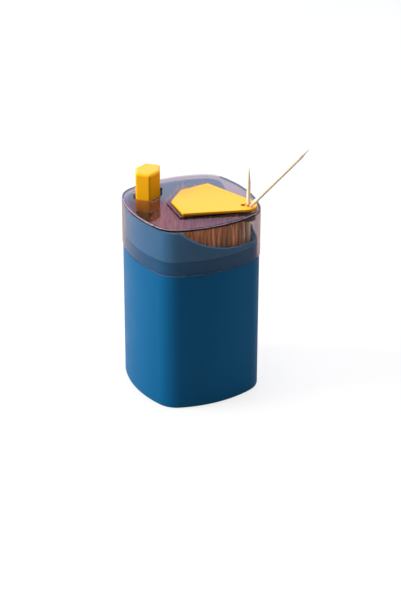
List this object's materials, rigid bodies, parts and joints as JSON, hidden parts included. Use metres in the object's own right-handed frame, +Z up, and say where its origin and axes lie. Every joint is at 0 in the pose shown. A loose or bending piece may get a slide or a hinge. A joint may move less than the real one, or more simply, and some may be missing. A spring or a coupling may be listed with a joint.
{
  "type": "toothpick dispenser",
  "caption": "Push-button toothpick dispenser: blue rounded-square tub, clear lift-off lid, yellow outlet plate, and a lever that lifts a pick through the outlet.",
  "frame": {"origin": "centre of the base, on the table", "axes": "+Z up, +X towards the outlet corner, the button stands at -X"},
  "size_m": [0.1083, 0.077, 0.1545],
  "materials": {
    "blue_plastic": "moulded, satin gloss",
    "clear_plastic": "clear, smoky, polished",
    "yellow_plastic": "moulded, satin gloss",
    "natural_plastic": "natural acetal, matte",
    "dark_plastic": "smoky dark, satin",
    "steel": "bright turned steel",
    "spring_steel": "drawn spring wire",
    "pick_wood": "plain birch, unvarnished"
  },
  "bodies": {
    "housing": {"body_shell": "blue_plastic", "base_cover": "blue_plastic", "base_screws": "steel", "hopper": "blue_plastic", "pivot_pin": "steel", "pivot_washers": "steel", "return_spring": "spring_steel", "pick_stock": "pick_wood"},
    "button": {"push_button": "yellow_plastic", "push_rod": "steel", "rod_stop_clip": "spring_steel", "rod_link_pin": "steel"},
    "lever": {"rocker_lever": "natural_plastic"},
    "plunger": {"lifter": "natural_plastic", "lifter_link_pin": "steel", "queued_pick": "pick_wood"},
    "lid": {"lid": "clear_plastic", "outlet_plate": "yellow_plastic", "outlet_guide": "dark_plastic"},
    "upright_pick": {"upright_pick": "pick_wood"},
    "leaning_pick": {"leaning_pick": "pick_wood"}
  },
  "joints": [
    {"name": "button_press", "type": "slide", "parent": "housing", "child": "button", "axis": [0, 0, -1], "range_m": [0, 0.009], "stiffness_N_per_m": 150, "springref_m": -0.012, "deforming": ["return_spring"]},
    {"name": "lever_rock", "type": "hinge", "parent": "housing", "child": "lever", "pos_m": [-0.009, 0, 0.0185], "axis": [0, -1, 0], "range_deg": [0, 30.69]},
    {"name": "plunger_lift", "type": "slide", "parent": "housing", "child": "plunger", "axis": [0, 0, 1], "range_m": [0, 0.02151]},
    {"name": "lid_lift", "type": "slide", "parent": "housing", "child": "lid", "axis": [0, 0, 1], "range_m": [0, 0.045]},
    {"name": "upright_pick_draw", "type": "slide", "parent": "lid", "child": "upright_pick", "axis": [0, 0, 1], "range_m": [0, 0.046]},
    {"name": "leaning_pick_draw", "type": "slide", "parent": "lid", "child": "leaning_pick", "axis": [0.5915, -0.3211, 0.7396], "range_m": [0, 0.01]}
  ],
  "couplings": [
    {"joint": "lever_rock", "follows": "button_press", "rad_per_m": 59.511},
    {"joint": "plunger_lift", "follows": "button_press", "ratio": 2.3902}
  ]
}
